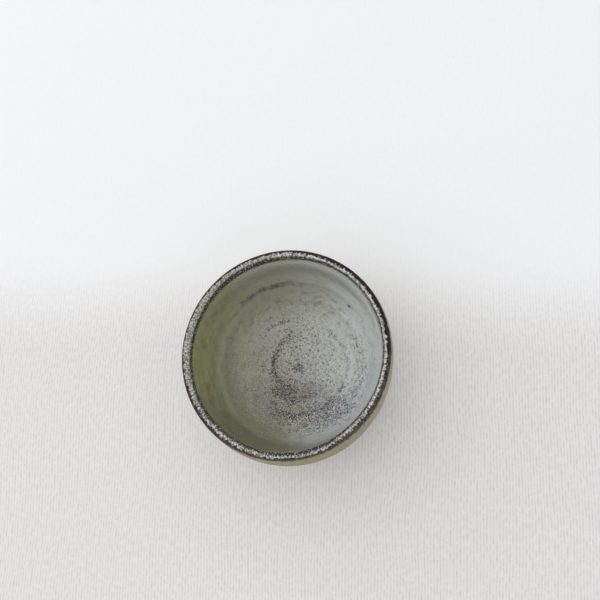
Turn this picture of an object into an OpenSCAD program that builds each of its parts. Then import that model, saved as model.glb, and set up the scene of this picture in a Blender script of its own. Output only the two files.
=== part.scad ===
// A thrown stoneware sake cup: the clay lump with its turned foot, and its three coats of glaze.
// The cup stands upright with the middle of its resting face at the origin. Millimetres.
// Every piece is a strip of one outline in the (radius, height) plane, turned about the cup's axis.

/* [Cup] */
// Diameter across the finished lip
lip_d = 66; // [56:0.5:80]
// Height from the foot's resting face to the top of the lip
cup_h = 43; // [38:0.5:58]
// How far the belly stands out past the lip, on the radius
belly_swell = 0.9; // [0.2:0.1:2]
// How far below the lip the belly is widest
belly_drop = 11; // [8:0.5:15]
// Fullness of the outside below the belly, where 2 is an ellipse
outside_power = 1.9; // [1.7:0.05:2.2]
// Fullness of the inside, where 2 is an ellipse
inside_power = 2.8; // [2.5:0.05:3.1]

/* [Wall] */
// Finished thickness of the rounded lip
lip_wall = 2.8; // [2.4:0.1:4]
// Clay between the bottom of the inside and the hollow of the foot
floor_t = 4.8; // [3.5:0.1:7]

/* [Foot] */
// Diameter of the foot ring at its resting face
foot_d = 40; // [34:0.5:44]
// Height of the foot ring, up to the heel where the bowl begins
foot_h = 5.5; // [4.5:0.1:8]
// Width of the foot ring from its outer to its inner side
foot_w = 3.4; // [2.8:0.1:5]
// How far the ring's outer side draws in on its way up to the heel
heel_inset = 0.8; // [0.2:0.1:2]
// How far the ring's inner side draws in on its way up
hollow_inset = 0.6; // [0.2:0.1:1.5]
// Depth of the hollow inside the foot ring
hollow_h = 4.2; // [3.2:0.1:5.5]
// Softening of the ring's two resting edges
edge_soft = 0.7; // [0.3:0.1:1]
// Softening of the corners at the heel and in the hollow
corner_soft = 1.1; // [0.5:0.1:1.8]

/* [Glaze] */
// Thickness of the coat inside the cup
inside_coat = 0.5; // [0.3:0.05:0.8]
// Thickness of the coat outside the cup
outside_coat = 0.4; // [0.25:0.05:0.7]
// Thickness of the dark band over the lip
rim_coat = 0.4; // [0.25:0.05:0.7]
// How far the dark band comes down the outside, past the rounding of the lip
band_outside = 0.6; // [0.4:0.1:3]
// How far the dark band goes down the inside, past the rounding of the lip
band_inside = 0.8; // [0.4:0.1:2]
// How far above the heel the outside coat stops, so that the foot stays bare
bare_gap = 2.5; // [1.8:0.1:6]

/* [Throwing marks] */
// How many finger rings run round the inside wall
ring_count = 6; // [3:1:9]
// How deep a finger ring is pressed
ring_depth = 0.25; // [0.1:0.05:0.5]
// Diameter of the button left in the middle of the floor
button_d = 5; // [3:0.5:8]
// How far the button stands up
button_h = 0.5; // [0.2:0.1:1]

/* [Hidden] */

turn_steps = 180;       // facets of a preview turn; the turned surfaces are true ones
side_steps = 22;        // points up the outside under its coat
band_steps = 4;         // points on each side of the lip under the dark band
lip_steps = 12;         // points round the top of the lip
inside_steps = 72;      // points down the inside
button_steps = 6;       // points over the button
bend_steps = 5;         // points round a softened corner

full_turn = 360;
quarter_turn = 90;
half_turn = 180;
ring_full_share = 0.35; // share of the way down the inside at which the finger rings reach full depth

// The clay of the lip, inside its coat
lip_r = lip_d / 2 - rim_coat;
lip_round = lip_wall / 2 - rim_coat;
clay_top = cup_h - rim_coat;
lip_mid_z = clay_top - lip_round;

// The outside, from the heel past the belly to the lip
belly_r = lip_r + belly_swell;
belly_z = cup_h - belly_drop;
heel_r = foot_d / 2 - heel_inset;
coat_z = foot_h + bare_gap;
band_z = lip_mid_z - band_outside;
bowl_drop = (belly_z - foot_h) / pow(1 - pow(heel_r / belly_r, outside_power), 1 / outside_power);

// The inside, from the lip's inner side to the button
inner_r = lip_r - 2 * lip_round;
floor_z = hollow_h + floor_t;
inner_drop = lip_mid_z - floor_z;
button_r = button_d / 2;
lip_mid_r = lip_r - lip_round;

// The foot ring's corners
foot_r = foot_d / 2;
foot_in_r = foot_r - foot_w;
hollow_r = foot_in_r - hollow_inset;

// Radius of the clay's outside at a height
function side_r(z) =
    z < belly_z
    ? belly_r * pow(1 - pow((belly_z - z) / bowl_drop, outside_power), 1 / outside_power)
    : belly_r - belly_swell * pow((z - belly_z) / (lip_mid_z - belly_z), 2);

// Depth of the finger rings at an angle down the inside, growing from nothing at the lip
function ring_cut(angle) =
    ring_depth / 2 * (1 - cos(full_turn * ring_count * angle / quarter_turn))
    * min(1, angle / (quarter_turn * ring_full_share));

// Point of the clay's inside at an angle, 0 at the lip and 90 in the middle of the floor
function inside_point(angle) =
    [inner_r * pow(cos(angle), 2 / inside_power) + ring_cut(angle) * cos(angle),
     lip_mid_z - inner_drop * pow(sin(angle), 2 / inside_power) - ring_cut(angle) * sin(angle)];

// Angle down the inside at a drop below the lip's middle, and at a radius
function drop_angle(drop) = asin(pow(drop / inner_drop, inside_power / 2));
function radius_angle(r) = acos(pow(r / inner_r, inside_power / 2));

// Where the dark band ends down the inside, and where the button begins
band_end = drop_angle(band_inside);
bowl_end = radius_angle(button_r);

// Points round a corner b between a and c
function bend(a, b, c) =
    [for (k = [0:bend_steps]) let (t = k / bend_steps)
        (1 - t) * (1 - t) * a + 2 * t * (1 - t) * b + t * t * c];

// The point at a distance from one point towards another
function towards(from, to, distance) = from + distance * (to - from) / norm(to - from);

// A softened corner b, whose rounding starts and ends at a distance from it
function soft_corner(a, b, c, distance) = bend(towards(b, a, distance), b, towards(b, c, distance));

// The clay's surface from the bare clay's upper end, over the lip, to the middle of the inside
side_line = [for (k = [0:side_steps])
    let (z = coat_z + (band_z - coat_z) * k / side_steps) [side_r(z), z]];
band_up = [for (k = [1:band_steps])
    let (z = band_z + (lip_mid_z - band_z) * k / band_steps) [side_r(z), z]];
lip_top = [for (k = [1:lip_steps])
    let (angle = half_turn * k / lip_steps)
    [lip_mid_r + lip_round * cos(angle), lip_mid_z + lip_round * sin(angle)]];
band_down = [for (k = [1:band_steps]) inside_point(band_end * k / band_steps)];
bowl_line = [for (k = [1:inside_steps])
    inside_point(band_end + (bowl_end - band_end) * k / inside_steps)];
bowl_last = bowl_line[inside_steps - 1];
button_line = [for (k = [1:button_steps])
    let (share = k / button_steps)
    [bowl_last[0] * (1 - share),
     bowl_last[1] + (floor_z + button_h - bowl_last[1]) * (1 - cos(half_turn * share)) / 2]];
skin = concat(side_line, band_up, lip_top, band_down, bowl_line, button_line);

// Places along the skin where one coat ends and the next begins
rim_from = side_steps;
rim_to = rim_from + 2 * band_steps + lip_steps;
skin_end = len(skin) - 1;

// A point of the skin pushed out by a coat, square to its neighbours, past the middle a mirrored one
function skin_before(i) = i > 0 ? skin[i - 1] : skin[i];
function skin_after(i) = i < skin_end ? skin[i + 1] : [-skin[i - 1][0], skin[i - 1][1]];
function coated(i, coat) =
    let (run = skin_after(i) - skin_before(i))
    skin[i] + coat * [run[1], -run[0]] / norm(run);

// The bare clay, from the middle of the hollow, round the foot ring, to the coat's lower end
heel = [heel_r, foot_h];
foot_corner = [foot_r, 0];
foot_in_corner = [foot_in_r, 0];
hollow_corner = [hollow_r, hollow_h];
hollow_mid = [0, hollow_h];
bare_line = concat(
    [hollow_mid],
    soft_corner(hollow_mid, hollow_corner, foot_in_corner, corner_soft),
    soft_corner(hollow_corner, foot_in_corner, foot_corner, edge_soft),
    soft_corner(foot_in_corner, foot_corner, heel, edge_soft),
    soft_corner(foot_corner, heel, skin[0], corner_soft)
);

// A closed outline turned about the cup's axis
module turned(outline) {
    rotate_extrude($fn = turn_steps) polygon(outline);
}

// A coat of even thickness on a stretch of the clay's skin
module coat_on(from, to, thickness) {
    turned(concat([for (i = [from:to]) coated(i, thickness)], [for (i = [to:-1:from]) skin[i]]));
}

module clay_body() {
    color([0.36, 0.27, 0.21])
        turned(concat(bare_line, skin));
}

module inside_glaze() {
    color([0.56, 0.57, 0.52]) coat_on(rim_to, skin_end, inside_coat);
}

module rim_glaze() {
    color([0.22, 0.17, 0.15]) coat_on(rim_from, rim_to, rim_coat);
}

module outside_glaze() {
    color([0.60, 0.56, 0.45]) coat_on(0, rim_from, outside_coat);
}

clay_body();
inside_glaze();
rim_glaze();
outside_glaze();
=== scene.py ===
import bpy
import math
from mathutils import Matrix, Vector


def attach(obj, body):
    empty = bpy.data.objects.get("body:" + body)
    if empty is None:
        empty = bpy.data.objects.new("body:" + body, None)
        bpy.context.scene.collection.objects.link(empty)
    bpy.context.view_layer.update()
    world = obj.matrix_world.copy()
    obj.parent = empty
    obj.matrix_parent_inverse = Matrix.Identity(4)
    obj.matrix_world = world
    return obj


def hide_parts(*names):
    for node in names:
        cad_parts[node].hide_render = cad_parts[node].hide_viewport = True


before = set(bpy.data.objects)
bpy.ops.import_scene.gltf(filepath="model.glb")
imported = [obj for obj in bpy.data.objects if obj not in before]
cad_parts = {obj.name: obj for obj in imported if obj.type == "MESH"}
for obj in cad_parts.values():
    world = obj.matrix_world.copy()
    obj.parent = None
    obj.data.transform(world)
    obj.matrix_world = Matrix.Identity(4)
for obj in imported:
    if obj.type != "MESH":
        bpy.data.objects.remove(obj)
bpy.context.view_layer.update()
mm = 0.001
millimetres = 1000.0        # in a metre, for patterns that are laid out in millimetres
print("frame loaded:", sorted(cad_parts))


class Wire:  # a node's output that takes part in a sum as a number does
    def __init__(self, board, socket):
        self.board = board
        self.socket = socket

    def maths(self, operation, first, second=None):
        sockets = {0: first}
        if second is not None:
            sockets[1] = second
        return self.board.node("ShaderNodeMath", {"operation": operation}, sockets)

    def __add__(self, other):
        return self.maths("ADD", self, other)

    def __radd__(self, other):
        return self.maths("ADD", other, self)

    def __sub__(self, other):
        return self.maths("SUBTRACT", self, other)

    def __rsub__(self, other):
        return self.maths("SUBTRACT", other, self)

    def __mul__(self, other):
        return self.maths("MULTIPLY", self, other)

    def __rmul__(self, other):
        return self.maths("MULTIPLY", other, self)

    def __truediv__(self, other):
        return self.maths("DIVIDE", self, other)

    def __pow__(self, other):
        return self.maths("POWER", self, other)

    def sine(self):
        return self.maths("SINE", self)

    def cosine(self):
        return self.maths("COSINE", self)

    def size(self):
        return self.maths("ABSOLUTE", self)

    def least(self, other):
        return self.maths("MINIMUM", self, other)

    def most(self, other):
        return self.maths("MAXIMUM", self, other)


class Board:  # a node tree, and the ways to put nodes on it
    def __init__(self, tree):
        self.tree = tree

    def node(self, kind, settings=None, sockets=None, output=0):
        made = self.tree.nodes.new(kind)
        for name, value in (settings or {}).items():
            setattr(made, name, value)
        for name, value in (sockets or {}).items():
            if isinstance(value, Wire):
                self.tree.links.new(value.socket, made.inputs[name])
            else:
                made.inputs[name].default_value = value
        return Wire(self, made.outputs[output]) if len(made.outputs) else made

    def output(self, wire, name):
        return Wire(self, wire.socket.node.outputs[name])

    def ramp(self, value, low, high, start=0.0, end=1.0):  # a smooth step from start to end
        sockets = {"Value": value, "From Min": low, "From Max": high, "To Min": start, "To Max": end}
        return self.node("ShaderNodeMapRange", {"interpolation_type": "SMOOTHSTEP"}, sockets)

    def ridge(self, value, centre, spread):  # 1 at the centre, falling to 0 at the spread on both sides
        return self.ramp((value - centre).size(), 0, spread, 1, 0)

    def blend(self, share, first, second):  # from the first colour to the second
        settings = {"data_type": "RGBA", "clamp_factor": True}
        return self.node("ShaderNodeMix", settings, {0: share, 6: first, 7: second}, 2)

    def vector(self, operation, first, second=None, output=0):
        sockets = {0: first}
        if second is not None:
            sockets["Scale" if operation == "SCALE" else 1] = second
        return self.node("ShaderNodeVectorMath", {"operation": operation}, sockets, output)

    def point(self, x, y, z):
        return self.node("ShaderNodeCombineXYZ", None, {0: x, 1: y, 2: z})

    def parts(self, vector):
        split = self.node("ShaderNodeSeparateXYZ", None, {0: vector})
        return [self.output(split, axis) for axis in "XYZ"]

    def noise(self, vector, scale, detail=2.0, roughness=0.5):
        sockets = {"Vector": vector, "Scale": scale, "Detail": detail, "Roughness": roughness}
        return self.node("ShaderNodeTexNoise", {"noise_dimensions": "3D"}, sockets)

    def flecks(self, tint, rows, colours, patterns):  # a colour under grains of others
        for pattern, low, high, strength, name in rows:
            share = self.ramp(patterns[pattern], low, high) * strength
            tint = self.blend(share, tint, colours[name])
        return tint

    def place(self):  # where a point of the piece is, in millimetres
        coordinates = self.node("ShaderNodeTexCoord")
        return self.vector("SCALE", self.output(coordinates, "Object"), millimetres)


def colour(red, green, blue):  # a colour as a screen shows it, 0 to 255
    channels = []
    for value in (red, green, blue):
        share = value / 255
        channels.append(share / 12.92 if share <= 0.04045 else ((share + 0.055) / 1.055) ** 2.4)
    return (*channels, 1)


# The clay's outline, in millimetres, with the sizes that the part's source gives
cup = {
    "lipWidth": 66, "height": 43, "bellySwell": 0.9, "bellyDrop": 11,
    "outsidePower": 1.9, "insidePower": 2.8, "lipWall": 2.8, "floorThick": 4.8,
    "footWidth": 40, "footHeight": 5.5, "footRing": 3.4, "heelInset": 0.8,
    "hollowInset": 0.6, "hollowHeight": 4.2, "edgeSoft": 0.7, "cornerSoft": 1.1,
    "insideCoat": 0.5, "outsideCoat": 0.4, "rimCoat": 0.4,
    "bandOutside": 0.6, "bandInside": 0.8, "bareGap": 2.5,
    "buttonWidth": 5, "buttonHeight": 0.5,
    "step": 0.12,           # spacing of the outline's points
    "bendSteps": 14,        # points round a softened corner
    "sideSteps": 160,       # points up the outside
    "lipSteps": 40,         # points round the lip
    "bowlSteps": 400,       # points down the inside
    "bowlCrowding": 1.5,    # how much closer they stand by the lip
    "buttonSteps": 20,      # points over the button
}
lipRadius = cup["lipWidth"] / 2 - cup["rimCoat"]
lipRound = cup["lipWall"] / 2 - cup["rimCoat"]
lipMidHeight = cup["height"] - cup["rimCoat"] - lipRound
lipMidRadius = lipRadius - lipRound
bellyRadius = lipRadius + cup["bellySwell"]
bellyHeight = cup["height"] - cup["bellyDrop"]
footRadius = cup["footWidth"] / 2
footInRadius = footRadius - cup["footRing"]
heelRadius = footRadius - cup["heelInset"]
hollowRadius = footInRadius - cup["hollowInset"]
coatHeight = cup["footHeight"] + cup["bareGap"]
bandHeight = lipMidHeight - cup["bandOutside"]
innerRadius = lipRadius - 2 * lipRound
innerFloor = cup["hollowHeight"] + cup["floorThick"]
innerDrop = lipMidHeight - innerFloor
heelShare = (heelRadius / bellyRadius) ** cup["outsidePower"]
bowlDrop = (bellyHeight - cup["footHeight"]) / (1 - heelShare) ** (1 / cup["outsidePower"])


def sideRadius(height):
    if height < bellyHeight:
        share = ((bellyHeight - height) / bowlDrop) ** cup["outsidePower"]
        return bellyRadius * (1 - share) ** (1 / cup["outsidePower"])
    return bellyRadius - cup["bellySwell"] * ((height - bellyHeight) / (lipMidHeight - bellyHeight)) ** 2


def insidePoint(angle):
    power = 2 / cup["insidePower"]
    radius = innerRadius * max(0, math.cos(angle)) ** power
    return radius, lipMidHeight - innerDrop * math.sin(angle) ** power


def shares(steps):  # even shares of the way, the last of them 1
    return [k / steps for k in range(1, steps + 1)]


def softCorner(before, corner, after, distance):
    start = corner + (before - corner).normalized() * distance
    end = corner + (after - corner).normalized() * distance
    bend = [0] + shares(cup["bendSteps"])
    return [(1 - t) ** 2 * start + 2 * t * (1 - t) * corner + t * t * end for t in bend]


def evenly(points, step):  # the same line with its points at even distances
    distances = [0]
    for a, b in zip(points, points[1:]):
        distances.append(distances[-1] + (b - a).length)
    count = max(1, round(distances[-1] / step))
    even, k = [], 0
    for i in range(count + 1):
        place = distances[-1] * i / count
        while k < len(points) - 2 and distances[k + 1] < place:
            k += 1
        share = (place - distances[k]) / (distances[k + 1] - distances[k])
        even.append(points[k].lerp(points[k + 1], share))
    return even


def makeOutline():
    hollowMid = Vector((0, cup["hollowHeight"]))
    hollowCorner = Vector((hollowRadius, cup["hollowHeight"]))
    footIn = Vector((footInRadius, 0))
    footOut = Vector((footRadius, 0))
    heel = Vector((heelRadius, cup["footHeight"]))
    sideStart = Vector((sideRadius(coatHeight), coatHeight))
    bare = [hollowMid]
    bare += softCorner(hollowMid, hollowCorner, footIn, cup["cornerSoft"])
    bare += softCorner(hollowCorner, footIn, footOut, cup["edgeSoft"])
    bare += softCorner(footIn, footOut, heel, cup["edgeSoft"])
    bare += softCorner(footOut, heel, sideStart, cup["cornerSoft"])
    bare.append(sideStart)
    side, lip, bowl, button = [], [], [], []
    for share in shares(cup["sideSteps"]):
        z = coatHeight + (lipMidHeight - coatHeight) * share
        side.append(Vector((sideRadius(z), z)))
    for share in shares(cup["lipSteps"]):
        angle = math.pi * share
        z = lipMidHeight + lipRound * math.sin(angle)
        lip.append(Vector((lipMidRadius + lipRound * math.cos(angle), z)))
    for share in shares(cup["bowlSteps"]):
        point = Vector(insidePoint(math.pi / 2 * share ** cup["bowlCrowding"]))
        if point.x > cup["buttonWidth"] / 2:
            bowl.append(point)
    last = bowl[-1]
    rise = innerFloor + cup["buttonHeight"] - last.y
    for share in shares(cup["buttonSteps"]):
        button.append(Vector((last.x * (1 - share), last.y + rise * (1 - math.cos(math.pi * share)) / 2)))
    return evenly(bare + side + lip + bowl + button, cup["step"])


outline = makeOutline()


def pathLengths(points):
    lengths = [0]
    for a, b in zip(points, points[1:]):
        lengths.append(lengths[-1] + (b - a).length)
    return lengths


def coatThickness(point, beforeLip):  # of the finished coat over a point of the clay
    if beforeLip and point.y < coatHeight:
        return 0
    return cup["outsideCoat"] if beforeLip else cup["insideCoat"]


outlinePath = pathLengths(outline)
crestIndex = max(range(len(outline)), key=lambda i: outline[i].y)
finished = []
for i, point in enumerate(outline):
    run = outline[min(i + 1, len(outline) - 1)] - outline[max(i - 1, 0)]
    away = Vector((run.y, -run.x)).normalized()
    finished.append(point + away * coatThickness(point, i < crestIndex))
finishedPath = pathLengths(finished)
reach = [length - finishedPath[crestIndex] for length in finishedPath]  # past the lip's crest, inwards
insideReach = reach[-1]


def pathWhere(test, start=0):  # path length of the first point, from a start, that passes a test
    for i in range(start, len(outline)):
        if test(outline[i]):
            return outlinePath[i]


pathCrest = outlinePath[crestIndex]
pathCoat = pathWhere(lambda p: p.y >= coatHeight and p.x > footRadius)
pathBandOut = pathWhere(lambda p: p.y >= bandHeight)
pathBandIn = pathWhere(lambda p: p.y <= lipMidHeight - cup["bandInside"], crestIndex)
pathEnd = outlinePath[-1]
print("outline:", len(outline), "points, inside", round(insideReach, 2), "mm, coats change at",
      round(pathCoat, 2), round(pathBandOut, 2), round(pathBandIn, 2))


def makeLine(name, points, values):  # a chain of points with values on them, for the nodes to read
    data = bpy.data.meshes.new(name)
    edges = [(i, i + 1) for i in range(len(points) - 1)]
    data.from_pydata([(p.x * mm, 0, p.y * mm) for p in points], edges, [])
    for key, numbers in values.items():
        data.attributes.new(key, "FLOAT", "POINT").data.foreach_set("value", numbers)
    made = bpy.data.objects.new(name, data)
    bpy.context.scene.collection.objects.link(made)
    return made


# Finger rings: the places on the way to the middle where a crest stands, in millimetres from it
throwing = {
    "crests": (2.6, 9.8, 17.0, 24.8, 32.8, 42.6, 52.0),
    "innerFade": (1.5, 14.0),   # mm past the lip's crest over which the rings grow
    "middleFade": (2.6, 6),     # mm from the middle over which they grow
    "outerPitch": 4.7,      # mm from ridge to ridge down the outside
    "outerShare": 0.34,     # depth of the outer ridges, against the inner rings
    "outerFade": (4, 10),   # mm below the lip's crest over which the outer ridges grow
    "lowFade": (1, 5),      # mm above the coat's lower edge over which they grow
}


def ringPhase(fromMiddle):
    crests = throwing["crests"]
    if fromMiddle <= crests[0]:
        return 0
    for k, (a, b) in enumerate(zip(crests, crests[1:])):
        if fromMiddle <= b:
            return k + (fromMiddle - a) / (b - a)
    return len(crests) - 1


def smooth(value, low, high):
    share = min(1, max(0, (value - low) / (high - low)))
    return share * share * (3 - 2 * share)


def ringFade(i):
    r = reach[i]
    if i < crestIndex:
        low = smooth(outline[i].y - coatHeight, *throwing["lowFade"])
        return throwing["outerShare"] * smooth(-r, *throwing["outerFade"]) * low
    return smooth(r, *throwing["innerFade"]) * smooth(insideReach - r, *throwing["middleFade"])


phases = [ringPhase(insideReach - r) if r > 0 else r / throwing["outerPitch"] for r in reach]
fades = [ringFade(i) for i in range(len(reach))]
clayLine = makeLine("clayLine", outline, {"reach": reach, "phase": phases, "fade": fades})


# What the tree does alike for every piece, in metres and shares of the cup's height
turning = {
    "chatter": 420.0, "grain": 900.0,           # how fine the marks and the grain of the bare clay are
    "tableClear": 1.2 * mm,                     # height above the table over which they grow
    "ringPatches": 1.3, "ringRise": 0.8,        # how often the rings change depth, round and up the wall
    "wobblePatches": 1.1, "wobbleRise": 1.5,    # how often the wall wanders, round and up
    "dipPatches": 0.9,                          # and how often the lip's height does
    "wobbleSeed": 7.3, "dipSeed": 3.1,
    "bellyShare": (0.2, 0.72), "lipShare": (0.72, 1.0),         # where the wall turns oval
    "wobbleShare": (0.15, 0.9), "dipShare": (0.5, 1.0),
    "fullRadius": 33 * mm,                      # radius at which a wandering has its whole size
    "axisRadius": 0.4 * mm,                     # nothing moves sideways on the axis itself
    "merge": 1e-6,                              # doubles at the seam and the poles
}


# The tree that turns a chain of rows about the cup's axis, over the clay's outline
def makeThrownTree():
    tree = bpy.data.node_groups.new("thrownShell", "GeometryNodeTree")
    face = tree.interface
    face.new_socket("Geometry", in_out="INPUT", socket_type="NodeSocketGeometry")
    inputs = (
        ("Outline", "Object", None), ("Finish", "Material", None), ("Turn Steps", "Int", 360),
        ("Oval Belly", "Float", 0.0), ("Oval Lip", "Float", 0.0), ("Belly Turn", "Float", 0.0),
        ("Lip Turn", "Float", 0.0), ("Lip Trim", "Float", 0.0),
        ("Ring Depth", "Float", 0.0), ("Edge Wave", "Float", 0.0), ("Edge Lobes", "Float", 2.0),
        ("Hand Wobble", "Float", 0.0), ("Lip Dip", "Float", 0.0), ("Grain", "Float", 0.0),
        ("Turning Marks", "Float", 0.0), ("Mark Pitch", "Float", 0.001),
        ("Belly Trim", "Float", 0.0), ("Lip Height", "Float", 0.043),
        ("Sharp Angle", "Float", 0.6), ("Seed", "Float", 0.0),
    )
    for name, kind, value in inputs:
        made = face.new_socket(name, in_out="INPUT", socket_type="NodeSocket" + kind)
        if value is not None:
            made.default_value = value
    face.new_socket("Geometry", in_out="OUTPUT", socket_type="NodeSocketGeometry")
    b = Board(tree)
    start = b.node("NodeGroupInput")

    def given(name):
        return b.output(start, name)

    # One row of the grid for each point of the chain, one column for each step of the turn
    rows = given("Geometry")
    rowCount = b.node("GeometryNodeAttributeDomainSize", {"component": "MESH"}, {0: rows})
    columns = given("Turn Steps") + 1
    grid = b.node("GeometryNodeMeshGrid", None,
                  {"Size X": 1, "Size Y": 1, "Vertices X": rowCount, "Vertices Y": columns})
    across, along = b.parts(b.node("GeometryNodeInputPosition"))[:2]
    row = b.node("ShaderNodeMath", {"operation": "ROUND"}, {0: (across + 0.5) * (rowCount - 1)})
    turn = (along + 0.5) * math.tau

    def rowValue(name):
        value = b.node("GeometryNodeInputNamedAttribute", {"data_type": "FLOAT"}, {"Name": name})
        return b.node("GeometryNodeSampleIndex", {"data_type": "FLOAT", "domain": "POINT"},
                      {"Geometry": rows, "Value": value, "Index": row})

    path, lift, loose, front = [rowValue(name) for name in ("path", "lift", "loose", "front")]

    cosTurn, sinTurn = turn.cosine(), turn.sine()

    def around(patches, place, detail, roughness=0.5):  # noise that closes on itself round the axis
        return b.noise(b.point(cosTurn * patches, sinTurn * patches, place), 1.0, detail, roughness)

    # A coat's free edge wanders along the outline
    wander = around(given("Edge Lobes"), given("Seed"), 3.0, 0.55) - 0.5
    path = path + wander * 2 * given("Edge Wave") * loose

    line = b.node("GeometryNodeObjectInfo", {"transform_space": "ORIGINAL"}, {"Object": given("Outline")})
    curve = b.node("GeometryNodeMeshToCurve", None, {0: b.output(line, "Geometry")})

    def lineValue(name):
        value = b.node("GeometryNodeInputNamedAttribute", {"data_type": "FLOAT"}, {"Name": name})
        sockets = {"Curves": curve, "Length": path, "Value": value}
        return b.node("GeometryNodeSampleCurve", {"mode": "LENGTH", "data_type": "FLOAT"}, sockets)

    sampled = lineValue("reach")
    place = b.output(sampled, "Position")
    tangent = b.output(sampled, "Tangent")
    radius, height = b.parts(place)[::2]
    runRadius, runHeight = b.parts(tangent)[::2]
    phase, fade = lineValue("phase"), lineValue("fade")

    # Finger rings climb the wall in one spiral, deeper here and there
    spiral = (phase + turn / math.tau) * math.tau
    uneven = around(turning["ringPatches"], phase * turning["ringRise"] + given("Seed"), 2.0)
    groove = (1 - spiral.cosine()) * 0.5 * fade * given("Ring Depth") * (0.5 + uneven)
    # Marks of the turning tool on the bare clay, and its grain
    outPoint = b.point(cosTurn * radius, sinTurn * radius, height)
    marks = ((path + turn / math.tau * given("Mark Pitch")) / given("Mark Pitch") * math.tau).cosine()
    chatter = b.noise(outPoint, turning["chatter"], 2.0)
    grain = (b.noise(outPoint, turning["grain"], 3.0, 0.6) - 0.5) * given("Grain")
    clearOfTable = b.ramp(height, 0, turning["tableClear"])
    lifted = lift - groove + front * clearOfTable * (marks * given("Turning Marks") * chatter + grain)

    # The wall wanders as one: oval towards the lip, and never quite true
    share = height / given("Lip Height")
    bellyShare = b.ramp(share, *turning["bellyShare"])
    lipShare = b.ramp(share, *turning["lipShare"])
    bellyOval = ((turn - given("Belly Turn")) * 2).cosine() * given("Oval Belly") - given("Belly Trim")
    lipOval = ((turn - given("Lip Turn")) * 2).cosine() * given("Oval Lip") - given("Lip Trim")
    oval = bellyShare * (bellyOval + (lipOval - bellyOval) * lipShare)
    rise = share * turning["wobbleRise"] + turning["wobbleSeed"]
    slow = around(turning["wobblePatches"], rise, 1.0) - 0.5
    wobble = slow * 2 * given("Hand Wobble") * b.ramp(share, *turning["wobbleShare"])
    settled = (radius / turning["axisRadius"]).least(1)
    outward = radius + runHeight * lifted * settled + (oval + wobble) * (radius / turning["fullRadius"])
    dip = around(turning["dipPatches"], turning["dipSeed"], 1.0) * given("Lip Dip")
    upward = height - runRadius * lifted - dip * b.ramp(share, *turning["dipShare"])

    shell = b.node("GeometryNodeStoreNamedAttribute", {"data_type": "FLOAT", "domain": "POINT"},
                   {"Geometry": b.output(grid, "Mesh"), "Name": "reach", "Value": sampled})
    shell = b.node("GeometryNodeSetPosition", None,
                   {"Geometry": shell, "Position": b.point(outward * cosTurn, outward * sinTurn, upward)})
    shell = b.node("GeometryNodeMergeByDistance", None, {"Geometry": shell, "Distance": turning["merge"]})
    edgeAngle = b.node("GeometryNodeInputMeshEdgeAngle")
    soft = b.node("FunctionNodeCompare", {"data_type": "FLOAT", "operation": "LESS_THAN"},
                  {0: edgeAngle, 1: given("Sharp Angle")})
    for domain, chosen in (("FACE", True), ("EDGE", soft)):
        shell = b.node("GeometryNodeSetShadeSmooth", {"domain": domain},
                       {"Geometry": shell, "Shade Smooth": chosen})
    shell = b.node("GeometryNodeRealizeInstances", None, {0: shell})
    shell = b.node("GeometryNodeSetMaterial", None, {"Geometry": shell, "Material": given("Finish")})
    b.node("NodeGroupOutput", None, {0: shell})
    return tree


thrownTree = makeThrownTree()

# How the hand has left the whole cup, shared by every piece so that they stay together
hand = {
    "Oval Belly": 0.62 * mm, "Oval Lip": 0.34 * mm, "Belly Turn": math.radians(-52),
    "Lip Turn": math.radians(-80), "Lip Trim": 0.12 * mm,
    "Belly Trim": 0.2 * mm, "Ring Depth": 0.26 * mm, "Hand Wobble": 0.10 * mm, "Lip Dip": 0.25 * mm,
    "Lip Height": cup["height"] * mm,
}


def makeShell(name, rows, finish, inputs):  # rows: path, lift, loose and front of each, in mm
    spacing = 0.01          # only keeps the chain's points apart
    chain = makeLine(name + "Rows", [Vector((0, spacing * k)) for k in range(len(rows))], {
        "path": [r[0] * mm for r in rows], "lift": [r[1] * mm for r in rows],
        "loose": [r[2] for r in rows], "front": [r[3] for r in rows],
    })
    modifier = chain.modifiers.new("thrown", "NODES")
    modifier.node_group = thrownTree
    values = {"Outline": clayLine, "Finish": finish, **hand, **inputs}
    for item in thrownTree.interface.items_tree:
        if item.in_out == "INPUT" and item.name in values:
            modifier[item.identifier] = values[item.name]
    evaluated = chain.evaluated_get(bpy.context.evaluated_depsgraph_get())
    data = bpy.data.meshes.new_from_object(evaluated)
    data.name = name
    made = bpy.data.objects.new(name, data)
    bpy.context.scene.collection.objects.link(made)
    chain.modifiers.remove(modifier)
    bpy.data.objects.remove(chain)
    volume = 0
    for polygon in data.polygons:
        volume += polygon.area * polygon.center.dot(polygon.normal) / 3
    if volume < 0:
        data.flip_normals()
    print(name, len(data.polygons), "faces,", round(abs(volume) * 1e9), "mm3")
    return made


def stretch(start, end, step):  # places from start to end, about a step apart
    count = max(1, math.ceil(abs(end - start) / step))
    return [start + (end - start) * k / count for k in range(count + 1)]


# Materials
def makeMaterial(name, kind=Board):
    made = bpy.data.materials.new(name)
    made.use_nodes = True
    made.node_tree.nodes.clear()
    return made, kind(made.node_tree)


def finishSurface(b, tint, rough, height, settings, gloss):
    sockets = {"Strength": settings["bumpStrength"], "Distance": settings["bumpDepth"], "Height": height}
    bump = b.node("ShaderNodeBump", None, sockets)
    sockets = {"Base Color": tint, "Roughness": rough, "Normal": bump, "Specular IOR Level": gloss}
    surface = b.node("ShaderNodeBsdfPrincipled", None, sockets)
    b.node("ShaderNodeOutputMaterial", None, {"Surface": surface})


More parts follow.
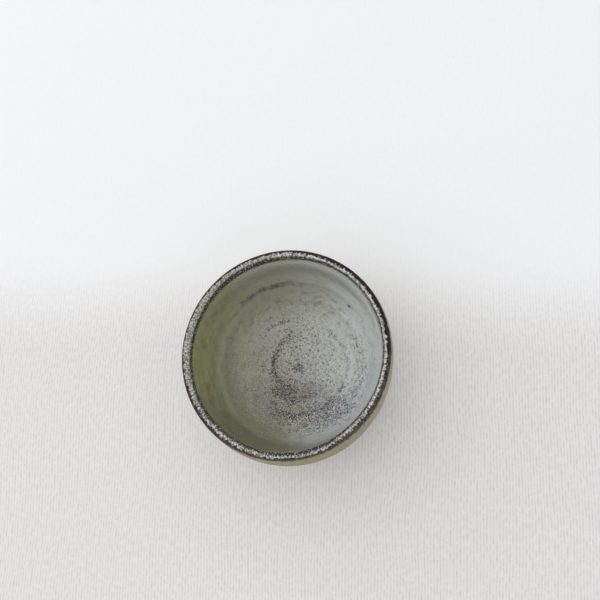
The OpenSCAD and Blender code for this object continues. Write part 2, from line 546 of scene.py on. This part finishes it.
# The colours that the kiln has left on the three coats, some of them partly painted light and shade, and
# where they change
glaze = {
    "olive": colour(158, 158, 110), "warmGrey": colour(170, 170, 150), "coolGrey": colour(200, 203, 198),
    "blueGrey": colour(190, 198, 200), "paleMiddle": colour(180, 178, 173), "shade": colour(118, 116, 94),
    "darkGlazeAndShade": colour(122, 119, 108), "iron": colour(52, 48, 48), "blueIron": colour(70, 76, 100),
    "ochre": colour(132, 108, 66), "salt": colour(224, 222, 216), "bluish": colour(224, 230, 232),
    "drab": colour(138, 138, 114), "stain": colour(92, 76, 44),
    "pinhole": (-2.3, 26.3, 20.1), "stroke": (9.2, -5.1),   # two stains inside, in mm
    "rimBlack": colour(26, 20, 21), "rimDark": colour(44, 36, 33), "rimRed": colour(74, 48, 38),
    "innerDark": colour(56, 55, 40), "innerBlue": colour(38, 39, 41),
    "silver": colour(216, 214, 209), "ash": colour(128, 125, 118), "pit": colour(48, 44, 42),
    "dull": colour(142, 141, 130),
    "khaki": colour(172, 163, 140), "khakiDeep": colour(156, 149, 120), "moss": colour(138, 134, 94),
    "bark": colour(98, 90, 56), "rust": colour(122, 86, 60), "burnt": colour(84, 58, 42),
    "crestOut": -0.35, "crestIn": 0.88,         # mm past the lip's crest between which it is silvery
    "bandEdge": (-0.2, 0.25),                   # and how softly its bands meet
    "insideEdge": (1.2, 1.9),                   # where the lip's inner band gives way to the inside
    "outsideEdge": (-1.45, -2.15),              # and its outer band to the outside
    "lipEdge": (3.2, 1.8),                      # mm from the crest, where the lip's own surface begins
    "slowScale": 0.11, "cloudScale": 0.28, "streakScale": 0.6, "mottleScale": 0.8,  # noise, per mm
    "spotScale": 0.9, "grainScale": 1.45, "fineScale": 2.6,
    "wander": 2.4,              # mm over which the rings wander to and fro
    "dotEdge": (0.56, 0.30),    # from outside a round speck to inside it, as a share of its place
    "speckEdge": (0.58, 0.65), "speckGain": 0.112,      # where the grain becomes iron specks
    "saltEdge": (0.51, 0.62),   # where the fine grain becomes pale
    "outsideFlecks": (          # the noise, the values between which they grow, strength and colour
        ("mottle", 0.56, 0.70, 0.3, "ash"), ("fine", 0.58, 0.68, 0.35, "salt"),
        ("grain", 0.60, 0.68, 0.6, "iron"), ("spots", 0.66, 0.72, 0.6, "burnt"),
    ),
    # Where the lip's bands lie aside: the direction, where that starts and is full towards it, and mm.
    # Partly painted light and shade: the silvery crest widens on the lamp's side and the dark outer band
    # away from it.
    "outLean": ((75, 0.3, 0.9, -0.32), (215, 0.8, 1.0, 0.35)),
    "inLean": ((222, 0.65, 1.0, -0.75), (325, 0.8, 1.0, 0.4)),
    "rough": 0.6, "bumpStrength": 0.55, "bumpDepth": 0.25 * mm,
}

# Arcs of the finger rings on the inside. Each has its distance from the middle and its half width in mm,
# the direction that it lies in, where it fades in and is full towards that direction, how ragged its ends
# are, and its strength.
arcs = {
    "specks": (
        (17.2, 1.7, 326, 0.70, 0.90, 0.2, 1.0),
        (17.0, 1.1, 166, 0.93, 0.99, 0.1, 0.7),
        (16.8, 1.1, 45, 0.1, 0.9, 0.8, 0.35),
        (11.2, 2.4, 292, 0.86, 0.97, 0.1, 0.9),
    ),
    # Painted shade along the rings' relief
    "shade": (
        (40.8, 4.5, 140, 0.0, 0.95, 0.8, 0.55),
        (38.2, 2.0, 135, 0.2, 1.0, 0.9, 0.2),
        (31.0, 1.8, 140, 0.3, 0.95, 0.5, 0.35),
        (23.4, 1.8, 125, 0.0, 0.9, 0.6, 0.3),
        (7.5, 5, 285, 0.0, 1.0, 0.5, 0.4),
    ),
    "wall": (
        (22.5, 8, 345, 0.72, 0.97, 0.5, 1.0),
        (23.5, 7, 35, 0.5, 0.97, 0.5, 0.85),
    ),
}

# Soft layers of colour on the inside, from the lowest up. A layer grows "from" its first distance to its
# second, in mm from the middle, or at the "lip", in mm past the crest, or it stands "at" the first with the
# second as its half width. Its last five numbers are those of an arc.
layers = {
    # Partly painted shade and light: olive, drab and shade on the wall that faces away from the lamp,
    # bluish and blue grey on the wall that faces it
    "wall": (
        ("olive", "from", 16, 40, 243, 0.1, 0.95, 0.6, 1.0),
        ("shade", "from", 20, 34, 304, 0.35, 0.98, 0.5, 0.9),
        ("shade", "at", 26, 8, 262, 0.4, 1.0, 0.6, 0.5),
        ("drab", "at", 26, 15, 195, -0.4, 0.7, 0.4, 0.42),
        ("bluish", "from", 14, 26, 55, 0.45, 1.0, 0.4, 0.72),
        ("blueGrey", "at", 27, 14, 12, 0.4, 1.0, 0.6, 0.9),
    ),
    "floor": (
        ("coolGrey", "from", 26, 14, 145, 0.2, 0.95, 0.3, 0.38),
        ("shade", "at", 14, 5, 225, 0.5, 0.95, 0.3, 0.2),
        ("bluish", "at", 47.5, 4.0, 100, 0.1, 0.9, 0.4, 0.55),
    ),
    # Painted light on the crests of the rings' relief
    "pale": (
        ("warmGrey", "at", 35.5, 2.4, 170, 0.2, 0.95, 0.8, 0.25),
        ("warmGrey", "at", 29.0, 2.2, 225, 0.35, 0.95, 0.8, 0.4),
    ),
    # Painted shade on the wall below the lip
    "edge": (
        ("darkGlazeAndShade", "lip", 8, 2, 45, 0.6, 0.95, 0.2, 0.5),
        ("darkGlazeAndShade", "lip", 3.8, 1.4, 92, 0.8, 0.98, 0.2, 0.6),
        ("darkGlazeAndShade", "from", 33, 37, 357, 0.84, 0.98, 0.1, 0.6),
    ),
}


class Coat(Board):  # a board for a glaze, with the patterns that its colours share
    def __init__(self, tree):
        super().__init__(tree)
        self.p = self.place()
        self.x, self.y, self.z = self.parts(self.p)
        self.radius = ((self.x * self.x + self.y * self.y) ** 0.5).most(0.5)
        reach = self.node("ShaderNodeAttribute", {"attribute_name": "reach"})
        self.past = self.output(reach, "Fac")       # mm past the lip's crest, inwards
        self.slow = self.noise(self.p, glaze["slowScale"], 2.0)
        self.cloud = self.noise(self.shifted(31.0), glaze["cloudScale"], 3.0, 0.55)
        self.grain = self.noise(self.p, glaze["grainScale"], 3.0, 0.8)
        self.fine = self.noise(self.shifted(17.0), glaze["fineScale"], 2.0, 0.6)
        self.spots = self.noise(self.shifted(57.0), glaze["spotScale"], 2.0)
        self.mottle = self.noise(self.drawnOut(1.3), glaze["mottleScale"], 3.0, 0.65)
        # mm from the middle of the inside, along its surface
        self.middle = insideReach - self.past + (self.slow - 0.5) * glaze["wander"]
        self.runs = self.dashes(1.25, 0.7, 0.0)
        self.hairs = self.dashes(2.0, 1.5, 11.0)

    def shifted(self, distance):
        return self.vector("ADD", self.p, (distance, distance * 0.37, distance * 0.71))

    def drawnOut(self, upright):  # the place for a pattern that is wider than it is high
        return self.vector("MULTIPLY", self.p, (0.5, 0.5, upright))

    def dashes(self, along, across, distance):  # grain drawn out over the lip, as the glaze has run
        perimeter = cup["lipWidth"] / 2 * along
        x, y = self.x / self.radius * perimeter, self.y / self.radius * perimeter
        return self.noise(self.point(x, y, self.past * across + distance), 1.0, 2.0, 0.6)

    def facing(self, degrees):  # 1 on the side that lies in a direction, -1 on the other
        angle = math.radians(degrees)
        return (self.x * math.cos(angle) + self.y * math.sin(angle)) / self.radius

    def side(self, degrees, low, high, ragged=0.0):  # from 0 to 1 towards a direction
        return self.ramp(self.facing(degrees) + (self.cloud - 0.5) * ragged, low, high)

    def arc(self, at, spread, towards, low, high, ragged, strength):
        return self.ridge(self.middle, at, spread) * self.side(towards, low, high, ragged) * strength

    def arcsOf(self, key):
        return sum(self.arc(*values) for values in arcs[key])

    def layersOf(self, key, tint):  # a colour under soft layers of others
        for name, shape, first, second, towards, low, high, ragged, strength in layers[key]:
            if shape == "at":
                where = self.ridge(self.middle, first, second)
            else:
                where = self.ramp(self.past if shape == "lip" else self.middle, first, second)
            tint = self.blend(where * self.side(towards, low, high, ragged) * strength, tint, glaze[name])
        return tint

    def leaning(self, key):  # mm that a line on the lip lies aside, by direction
        return sum(self.side(towards, low, high) * by for towards, low, high, by in glaze[key])

    def dots(self, distance, scale, share):  # round specks, on a share of the places that may have one
        cells = self.node("ShaderNodeTexVoronoi", None, {"Vector": self.shifted(distance), "Scale": scale})
        chance = self.parts(self.output(cells, "Color"))[0]
        away = self.output(cells, "Distance") + (self.grain - 0.5) * 1.2
        return self.ramp(away, *glaze["dotEdge"]) * self.ramp(share - chance, -0.05, 0.08)


# The inside: olive on the wall that faces away from the lamp, grey and blue grey on the wall that faces it,
# pale in the middle. The olive and the blue grey are partly the glaze's own colour and partly painted shade
# and light.
def insideTint(b):
    side, middle = b.side, b.middle
    cloud, grain, fine, mottle = b.cloud, b.grain, b.fine, b.mottle
    # Cool grey on the wall that faces the lamp, warm grey elsewhere: partly the glaze's own tone, partly
    # painted light
    inner = b.blend(side(50, -0.45, 0.75, 0.8), glaze["warmGrey"], glaze["coolGrey"])
    inner = b.layersOf("wall", inner)
    inner = b.blend(b.ramp(middle, 15, 4) * 0.7, inner, glaze["paleMiddle"])
    inner = b.layersOf("floor", inner)

    # Finger rings: the coat is thin and dark on a crest. Painted shade goes with them along the rings'
    # relief, and a soft painted shade lies near the middle.
    broken = b.ramp(grain * 0.6 + cloud * 0.4, 0.45, 0.58)      # a ring is a row of specks, not a line
    high = b.ridge(middle + b.facing(60) * 1.2, 31.4, 2.0) * side(160, 0.88, 0.98, 0.2)
    low = b.ridge(middle + b.facing(290) * 1.8, 9.6, 1.5) * side(240, -0.3, 0.6, 0.5)
    rings = b.arcsOf("specks") + high * (0.3 + cloud * 1.2) + low * 0.8 + b.ridge(middle, 0, 2.6) * 1.1
    softShade = b.ridge(middle, 14, 12) * 0.5 + b.ridge(middle, 9, 5) * 0.45 + b.ridge(middle, 19, 5.5) * 0.6
    # The dark tone: the glaze's own on the ring crests and in clouds, with painted shade in the rings'
    # relief and near the middle
    darkGlazeAndShade = b.arcsOf("shade") + rings * (0.35 + broken * 0.65) + side(315, 0.1, 1.0, 0.5) * softShade
    darkGlazeAndShade = darkGlazeAndShade + b.ramp(mottle, 0.52, 0.66) * b.ramp(middle, 30, 22) * b.ramp(middle, 8, 13) * 0.45
    inner = b.blend(darkGlazeAndShade * (0.4 + cloud), inner, glaze["darkGlazeAndShade"])
    pooled = b.arc(18.6, 1.3, 35, 0.2, 0.95, 0.6, fine)         # a pale line above a ring
    inner = b.blend(pooled * 0.6, inner, glaze["bluish"])

    # Iron specks, thick on the floor, thickest along the rings, with pale grain between them
    wall = b.arcsOf("wall")
    climb = middle + b.facing(265) * 5      # the thick specks climb the wall as they go round
    density = b.ramp(middle, 28, 9) * 0.68 + side(320, 0.5, 0.97, 0.4) * b.ridge(climb, 17, 4.5) * 0.3
    density = density + wall * 0.75 + rings * 0.5 - side(215, 0.2, 1.0) * b.ramp(middle, 9, 14) * 0.3
    bright = side(78, 0.2, 0.95) * b.ramp(middle, 3, 8)
    density = density - bright * 0.2
    speck = b.ramp(grain + density * glaze["speckGain"], *glaze["speckEdge"])
    speck = speck.most(b.dots(5.0, 1.0, density * 0.25)).most(b.dots(23.0, 1.3, rings * 0.8))
    ironTint = b.blend(side(12, 0.4, 1.0, 0.6), glaze["iron"], glaze["blueIron"])
    inner = b.blend(speck * (0.46 + density * 0.5).least(0.95), inner, ironTint)
    salt = b.ramp(fine, *glaze["saltEdge"]) * b.ramp(middle, 34, 18)
    salt = salt * (0.4 + density * 0.25 + wall * 0.8 + bright * 0.35)
    inner = b.blend(salt.least(0.85), inner, glaze["salt"])
    inner = b.blend(b.ramp(b.spots, 0.66, 0.74) * 0.5, inner, glaze["ochre"])

    # A rusty pinhole in the wall, and a short rusty stroke on the floor
    away = b.vector("DISTANCE", b.p, glaze["pinhole"], "Value")
    inner = b.blend(b.ramp(away + (fine - 0.5), 0.95, 0.45) * 0.85, inner, glaze["stain"])
    right, forth = b.x - glaze["stroke"][0], b.y - glaze["stroke"][1]
    along = right * 0.7 + forth * 0.7
    across = forth * 0.7 - right * 0.7 + along * along * 0.12
    away = ((along / 2.6) ** 2.0 + across * across) ** 0.5
    inner = b.blend(b.ramp(away + (grain - 0.5) * 1.6, 0.8, 0.2) * 0.55, inner, glaze["stain"])

    # Soft clouds and patches on the wall, painted light on its pale rings, and painted shade under the lip
    inner = b.blend(b.ramp(mottle, 0.52, 0.70) * b.ramp(middle, 14, 26) * 0.4, inner, glaze["darkGlazeAndShade"])
    patch = b.ramp(cloud * 0.6 + mottle * 0.4, 0.48, 0.66) * side(243, 0.3, 0.95, 0.5)
    inner = b.blend(patch * b.ramp(middle, 22, 34) * 0.3, inner, glaze["bark"])
    patch = b.ramp(cloud, 0.52, 0.68) * side(262, 0.5, 0.95, 0.3)
    inner = b.blend(patch * b.ramp(middle, 32, 42) * 0.3, inner, glaze["ochre"])
    inner = b.layersOf("pale", inner)
    inner = b.blend(b.ramp(mottle, 0.44, 0.28) * b.ramp(middle, 14, 26) * 0.14, inner, glaze["salt"])
    return b.layersOf("edge", inner), speck


# The outside: dry khaki, mossy lower down, burnt where it thins at its lower edge
def outsideTint(b):
    z, cloud, grain = b.z, b.cloud, b.grain
    streak = b.noise(b.drawnOut(1.6), glaze["streakScale"], 4.0, 0.65)
    deep = b.ramp(cloud * 0.4 + streak * 0.6, 0.34, 0.66)
    outer = b.blend(deep * 0.8, glaze["khaki"], glaze["khakiDeep"])
    outer = b.blend(b.ramp(z + (cloud - 0.5) * 14, 24, 9) * 0.6, outer, glaze["moss"])
    outer = b.blend(b.side(318, 0.3, 1.0, 0.5) * 0.6, outer, glaze["moss"])
    outer = b.blend(b.side(35, 0.55, 0.95, 0.2) * b.ramp(z, 24, 36) * 0.4, outer, glaze["ash"])
    patterns = {"mottle": b.mottle, "fine": b.fine, "grain": grain, "spots": b.spots}
    outer = b.flecks(outer, glaze["outsideFlecks"], glaze, patterns)
    thin = z + (cloud - 0.5) * 3 + (grain - 0.5) * 1.5
    outer = b.blend(b.ramp(thin, 10.4, 8.0) * 0.7, outer, glaze["rust"])
    return b.blend(b.ramp(thin, 9.0, 7.9) * 0.7, outer, glaze["burnt"])


# The lip: brown black outside, silvery grain on the crest, a broken dark line inside; their widths and
# tones by side are partly painted light and shade
def lipTint(b, onward):
    side, grain, runs, hairs = b.side, b.grain, b.runs, b.hairs
    outBy = onward - glaze["crestOut"] + b.leaning("outLean") + (runs - 0.5) * 2.6
    inBy = onward - glaze["crestIn"] + b.leaning("inLean") + (hairs - 0.5) * 2.6 + (runs - 0.5) * 1.5
    dark = b.blend(b.ramp(runs, 0.45, 0.62) * 0.8, glaze["rimDark"], glaze["rimRed"])
    # Blacker on the side away from the lamp: painted shade on the lip's outer slope
    dark = b.blend(side(85, 0.35, 0.85), dark, glaze["rimBlack"])
    dark = b.blend(b.ramp(hairs, 0.5, 0.62) * side(10, 0.55, 0.95) * 0.5, dark, glaze["ash"])
    dark = b.blend(b.ramp(grain, 0.48, 0.58) * side(335, 0.3, 0.9) * 0.65, dark, glaze["bark"])
    inDark = b.blend(side(20, 0.0, 0.9), glaze["innerDark"], glaze["innerBlue"])
    silvery = b.ramp(hairs, 0.54, 0.68) * (0.72 - side(42, 0.1, 0.8) * 0.6)
    inDark = b.blend(silvery, inDark, glaze["silver"])
    # The crest is greyer on the lamp's side and whiter away from it, where its inner slope faces the lamp:
    # painted reflection over the glaze's silvery grain
    dull = side(205, 0.2, 1.0)
    pale = hairs * 0.65 + grain * 0.35 - dull * 0.03 - side(310, 0.1, 0.9) * 0.03
    crest = b.blend(b.ramp(pale, 0.43, 0.56), glaze["ash"], glaze["silver"])
    crest = b.blend(b.ramp(pale, 0.45, 0.38) * 0.9, crest, glaze["pit"])
    crest = b.blend(dull * 0.4, crest, glaze["dull"])
    lip = b.blend(b.ramp(outBy, *glaze["bandEdge"]), dark, crest)
    return b.blend(b.ramp(inBy, *glaze["bandEdge"]), lip, inDark)


# All three coats share one pattern, so that they meet without a seam
def glazeFinish(name, gloss):
    made, b = makeMaterial(name, Coat)
    onward = b.past + b.side(322, 0.74, 1.0) * 0.5
    inner, speck = insideTint(b)
    outer = outsideTint(b)
    lip = lipTint(b, onward)

    # The lip's bands end in the two coats on ragged lines
    far = b.side(203, -0.5, 1.0)
    entering = onward - far * 2.4 + (0.5 + far) * ((b.hairs - 0.5) * 3.2 + (b.grain - 0.5) * 2)
    tint = b.blend(b.ramp(entering, *glaze["insideEdge"]), lip, inner)
    ragged = b.side(328, -0.1, 0.9)
    leaving = b.past + ragged * 1.2 + (b.runs - 0.5) * (3 + ragged * 2.5) + (b.slow - 0.5)
    tint = b.blend(b.ramp(leaving, *glaze["outsideEdge"]), tint, outer)

    onLip = b.ramp(b.past.size(), *glaze["lipEdge"])
    rough = glaze["rough"] - onLip * 0.08 - speck * 0.1 + (b.cloud - 0.5) * 0.16
    height = b.grain * 0.35 + b.fine * 0.2 + b.cloud * 0.5 + onLip * b.hairs * 0.6 - speck * 0.2
    finishSurface(b, tint, rough, height, glaze, gloss)
    return made


# Dry brown stoneware, toasted by the coat's edge, worn on the resting face
bare = {
    "deep": colour(92, 74, 62), "warm": colour(126, 102, 82), "sand": colour(170, 148, 122),
    "grit": colour(46, 38, 34), "worn": colour(148, 128, 106), "toasted": colour(112, 76, 54),
    "cloudScale": 0.16, "grainScale": 1.2, "fineScale": 3.4, "turnedScale": 1.0,    # noise, per mm
    "flecks": (             # the noise or height, the values between which they grow, strength and colour
        ("fine", 0.52, 0.68, 0.5, "sand"), ("grain", 0.60, 0.68, 0.75, "grit"),
        ("grain", 0.40, 0.32, 0.5, "sand"), ("height", 0.7, 0.0, 0.5, "worn"),
    ),
    "rough": 0.88, "gloss": 0.5, "bumpStrength": 0.8, "bumpDepth": 0.3 * mm,
}


def bareFinish(name):
    made, b = makeMaterial(name)
    p = b.place()
    z = b.parts(p)[2]
    cloud = b.noise(p, bare["cloudScale"], 4.0, 0.6)
    grain = b.noise(b.vector("ADD", p, (3.0, 8.0, 1.0)), bare["grainScale"], 4.0, 0.75)
    fine = b.noise(b.vector("ADD", p, (9.0, 2.0, 5.0)), bare["fineScale"], 3.0, 0.7)
    turned = b.noise(b.vector("MULTIPLY", p, (0.6, 0.6, 2.4)), bare["turnedScale"], 3.0, 0.6)
    tint = b.blend(b.ramp(cloud * 0.7 + turned * 0.3, 0.36, 0.64), bare["deep"], bare["warm"])
    tint = b.blend(b.ramp(z + (cloud - 0.5) * 6, 4.5, 8.5) * 0.6, tint, bare["toasted"])
    tint = b.flecks(tint, bare["flecks"], bare, {"fine": fine, "grain": grain, "height": z})
    rough = bare["rough"] - b.ramp(grain, 0.60, 0.68) * 0.12 + (cloud - 0.5) * 0.1
    height = fine * 0.6 + grain * 0.8 + turned * 0.15
    finishSurface(b, tint, rough, height, bare, bare["gloss"])
    return made


clayFinish = bareFinish("bareClay")
insideFinish = glazeFinish("insideGlaze", gloss=0.5)
rimFinish = glazeFinish("rimGlaze", gloss=0.2)
outsideFinish = glazeFinish("outsideGlaze", gloss=0.3)

# The thrown clay: fine rows where it is bare, coarse ones under the coats
clay = {
    "bareStep": 0.3, "hiddenStep": 1.0, "lipStep": 0.35,    # mm between the rows
    "bareOverlap": 2,       # mm that the turning marks run on under the coat
    "fadeIn": 1,            # mm before the coat's edge where they begin to fade
    "lipReach": 4,          # mm to each side of the lip's crest with closer rows
    "Turning Marks": 0.10 * mm, "Mark Pitch": 1.1 * mm, "Grain": 0.10 * mm,
}


def makeClay():
    bareEnd = pathCoat + clay["bareOverlap"]
    lipStart, lipEnd = pathCrest - clay["lipReach"], pathCrest + clay["lipReach"]
    places = stretch(0, bareEnd, clay["bareStep"])
    places += stretch(bareEnd, lipStart, clay["hiddenStep"])[1:]
    places += stretch(lipStart, lipEnd, clay["lipStep"])[1:]
    places += stretch(lipEnd, pathEnd, clay["hiddenStep"])[1:]
    rows = [(p, 0, 0, 1 - smooth(p, pathCoat - clay["fadeIn"], bareEnd)) for p in places]
    inputs = {key: clay[key] for key in ("Turning Marks", "Mark Pitch", "Grain")}
    return makeShell("thrownClay", rows, clayFinish, inputs)


coats = {
    "frontStep": 0.3, "rimStep": 0.15, "edgeStep": 0.06,     # mm between the rows of a coat's face
    "backStep": 1.2, "rimBackStep": 0.35,                   # and of its back
    "rimEase": 1.2,         # mm in which the lip's band takes the inside coat's thickness
    "under": 0.05,          # how far a coat's back sinks into the clay
    "edgeRound": 0.5,       # rounding of a free edge
    "edgeBead": 0.12,       # how much thicker the coat is by its free edge
    "beadEnd": (0.6, 2.2),  # mm from the edge over which that fades
    "looseFar": 6.0,        # how far up the coat its edge's wandering reaches
    "Edge Wave": 1.1 * mm, "Edge Lobes": 2.4,
}


def backRows(start, end, step, loose):
    return [(p, -coats["under"], loose(p), 0) for p in stretch(start, end, step)]


def makeRim():
    def thickness(p):
        eased = smooth(p, pathBandIn - coats["rimEase"], pathBandIn)
        return cup["rimCoat"] + (cup["insideCoat"] - cup["rimCoat"]) * eased
    rows = backRows(pathBandIn, pathBandOut, coats["rimBackStep"], lambda p: 0)
    rows += [(p, thickness(p), 0, 0) for p in stretch(pathBandOut, pathBandIn, coats["rimStep"])]
    rows.append(rows[0])
    return makeShell("rimGlaze", rows, rimFinish, {})


def makeInside():
    rows = backRows(pathEnd, pathBandIn, coats["backStep"], lambda p: 0)
    rows += [(p, cup["insideCoat"], 0, 0) for p in stretch(pathBandIn, pathEnd, coats["frontStep"])]
    return makeShell("insideGlaze", rows, insideFinish, {})


def makeOutside():
    def loose(p):
        return 1 - smooth(p, pathCoat, pathCoat + coats["looseFar"])

    def thickness(p):
        near = min(1, (p - pathCoat) / coats["edgeRound"])
        bead = coats["edgeBead"] * (1 - smooth(p - pathCoat, *coats["beadEnd"]))
        full = cup["outsideCoat"] + bead + coats["under"]
        return full * math.sqrt(1 - (1 - near) ** 2) - coats["under"]
    edge = stretch(pathCoat, pathCoat + coats["edgeRound"], coats["edgeStep"])
    rest = stretch(pathCoat + coats["edgeRound"], pathBandOut, coats["frontStep"])[1:]
    rows = backRows(pathBandOut, pathCoat, coats["backStep"], loose)
    rows += [(p, thickness(p), loose(p), 0) for p in (edge + rest)[1:]]
    rows.append(rows[0])
    inputs = {key: coats[key] for key in ("Edge Wave", "Edge Lobes")}
    return makeShell("outsideGlaze", rows, outsideFinish, inputs)


for made, node, slot in (
    (makeClay(), "clay_body", "bare_clay"),
    (makeInside(), "inside_glaze", "inside_glaze"),
    (makeRim(), "rim_glaze", "rim_glaze"),
    (makeOutside(), "outside_glaze", "outside_glaze"),
):
    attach(made, "root")
    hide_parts(node)
bpy.data.objects.remove(clayLine)
print("pieces placed")

# Stage: a pale floor that fills the view and keeps the cup's shadow
stage = {
    "halfWidth": 2.6, "drop": 0.02 * mm,
    "near": colour(234, 232, 229), "far": colour(246, 247, 247), "ribDark": colour(200, 198, 194),
    "horizon": colour(249, 249, 250),
    "upward": (-0.739, 0.674),      # across the floor, the way that the picture's top lies
    "foldScale": 0.012, "paleFold": 16, "ribFold": 8,       # the cloth's soft folds bend its tone and ribs
    "paleFrom": (4, 44),            # mm up the picture over which the cloth turns into the pale ground
    "paleAway": (160, 500), "horizonAway": (500, 2000), "weaveAway": (420, 120),    # mm from the cup
    "ribPitch": 1.05,               # mm
}


def makeFloor():
    half = stage["halfWidth"]
    data = bpy.data.meshes.new("floor")
    corners = [(-half, -half, 0), (half, -half, 0), (half, half, 0), (-half, half, 0)]
    data.from_pydata(corners, [], [(0, 1, 2, 3)])
    data.transform(Matrix.Translation((0, 0, -stage["drop"])))
    made = bpy.data.objects.new("floor", data)
    bpy.context.scene.collection.objects.link(made)
    finish, b = makeMaterial("paleCloth")
    p = b.place()
    x, y = b.parts(p)[:2]
    upward = x * stage["upward"][0] + y * stage["upward"][1]
    sideways = x * stage["upward"][1] - y * stage["upward"][0]
    distance = (x * x + y * y) ** 0.5
    fold = b.noise(p, stage["foldScale"], 2.0) - 0.5
    pale = b.ramp(upward + fold * stage["paleFold"], *stage["paleFrom"])
    pale = pale.most(b.ramp(distance, *stage["paleAway"]))
    tint = b.blend(pale, stage["near"], stage["far"])
    tint = b.blend(b.ramp(distance, *stage["horizonAway"]), tint, stage["horizon"])
    rib = ((sideways + fold * stage["ribFold"]) * math.tau / stage["ribPitch"]).sine() * 0.5 + 0.5
    thread = b.noise(b.point(sideways * 0.8, upward * 0.5, 0.0), 1.0, 3.0, 0.6)
    near = b.ramp(distance, *stage["weaveAway"])
    woven = rib * b.ramp(thread, 0.3, 0.7) * (1 - pale * 0.85) * near
    tint = b.blend(woven * 0.6, tint, stage["ribDark"])
    surface = b.node("ShaderNodeBsdfPrincipled", None,
                     {"Base Color": tint, "Roughness": 0.9, "Specular IOR Level": 0.0})
    b.node("ShaderNodeOutputMaterial", None, {"Surface": surface})
    data.materials.append(finish)


makeFloor()

# Light: one soft lamp over the picture's upper left, and an even pale room
light = {
    "place": (-0.36, -0.13, 0.74), "aim": (0, 0, 0.02), "size": 1.5, "power": 3.1,
    "room": colour(252, 252, 255),
    "roomStrength": 0.76, "backdrop": 0.77,     # as the cup sees the room, and as the camera does
}


def makeLight():
    data = bpy.data.lights.new("window", "AREA")
    data.shape = "DISK"
    data.size = light["size"]
    data.energy = light["power"]
    made = bpy.data.objects.new("window", data)
    made.location = light["place"]
    toCup = Vector(light["aim"]) - Vector(light["place"])
    made.rotation_mode = "QUATERNION"
    made.rotation_quaternion = toCup.to_track_quat("-Z", "Y")
    bpy.context.scene.collection.objects.link(made)
    world = bpy.data.worlds.new("room")
    world.use_nodes = True
    world.node_tree.nodes.clear()
    b = Board(world.node_tree)
    path = b.node("ShaderNodeLightPath")
    more = light["backdrop"] - light["roomStrength"]
    strength = light["roomStrength"] + b.output(path, "Is Camera Ray") * more
    background = b.node("ShaderNodeBackground", None, {"Color": light["room"], "Strength": strength})
    b.node("ShaderNodeOutputWorld", None, {"Surface": background})
    bpy.context.scene.world = world


makeLight()

# Camera: looks down into the mouth, rolled as in the photograph
camera = {
    "place": (57.54, 2.49, 299.11),     # mm
    "forward": (-0.2519, 0.0446, -0.9667), "upward": (-0.721, 0.6576, 0.2182),
    "lens": 51, "sensor": 36, "nearest": 0.01, "farthest": 20,
}


def makeCamera():
    data = bpy.data.cameras.new("camera")
    data.lens = camera["lens"]
    data.sensor_width = camera["sensor"]
    data.clip_start = camera["nearest"]
    data.clip_end = camera["farthest"]
    made = bpy.data.objects.new("camera", data)
    back = -Vector(camera["forward"]).normalized()
    right = Vector(camera["upward"]).cross(back).normalized()
    upward = back.cross(right)
    turned = Matrix((right, upward, back)).transposed().to_4x4()
    made.matrix_world = Matrix.Translation(Vector(camera["place"]) * mm) @ turned
    bpy.context.scene.collection.objects.link(made)
    bpy.context.scene.camera = made


makeCamera()
bpy.context.scene.view_settings.view_transform = "Standard"
